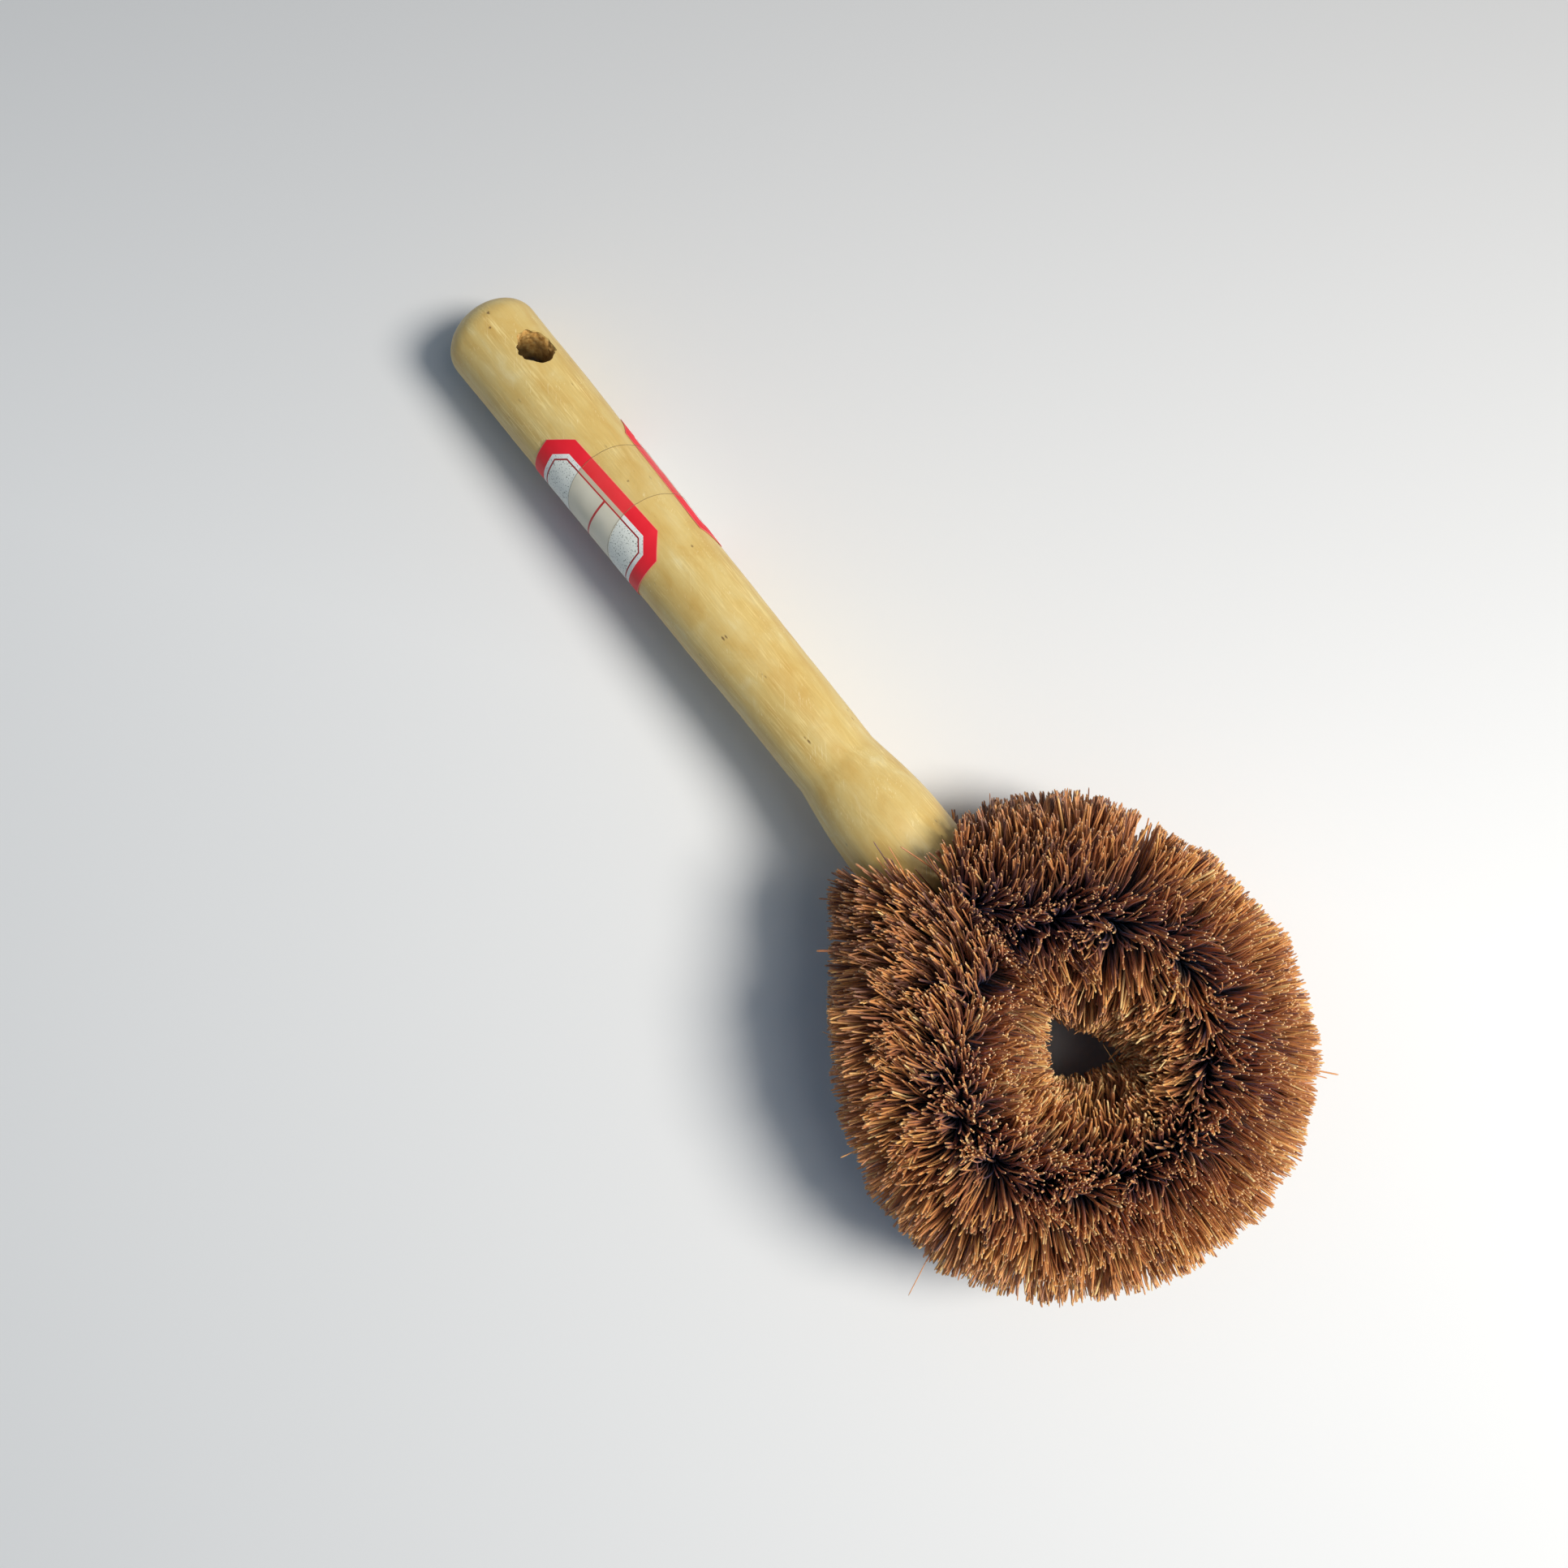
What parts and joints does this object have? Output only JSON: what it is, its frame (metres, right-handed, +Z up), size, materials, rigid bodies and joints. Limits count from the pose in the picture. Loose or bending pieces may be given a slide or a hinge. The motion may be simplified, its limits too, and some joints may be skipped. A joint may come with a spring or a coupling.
{
  "type": "pot brush with handle",
  "caption": "Ring-shaped pot brush of brown palm fibre held in a twisted wire, on a turned pale wooden handle with a hanging hole, paper labels and a band of clear tape.",
  "frame": {"origin": "under the middle of the brush, on the surface that it lies on", "axes": "+X from the handle's end to the head, +Z up, with the ring of fibre lying level"},
  "size_m": [0.2797, 0.114, 0.0535],
  "materials": {
    "palm_fibre": "matte",
    "pale_wood": "satin",
    "wire": "satin",
    "label_paper": "matte",
    "clear_tape": "gloss"
  },
  "bodies": {
    "root": {"bristles_01": "palm_fibre", "bristles_02": "palm_fibre", "bristles_03": "palm_fibre", "bristles_04": "palm_fibre", "bristles_05": "palm_fibre", "bristles_06": "palm_fibre", "bristles_07": "palm_fibre", "bristles_08": "palm_fibre", "bristles_09": "palm_fibre", "bristles_10": "palm_fibre", "bristles_11": "palm_fibre", "bristles_12": "palm_fibre", "bristles_13": "palm_fibre", "bristles_14": "palm_fibre", "bristles_15": "palm_fibre", "bristles_16": "palm_fibre", "bristles_17": "palm_fibre", "bristles_18": "palm_fibre", "bristles_19": "palm_fibre", "bristles_20": "palm_fibre", "bristles_21": "palm_fibre", "bristles_22": "palm_fibre", "bristles_throat": "palm_fibre", "handle": "pale_wood", "wire_strand_a": "wire", "wire_strand_b": "wire", "label_left": "label_paper", "label_right": "label_paper", "tape_band": "clear_tape"}
  },
  "joints": []
}
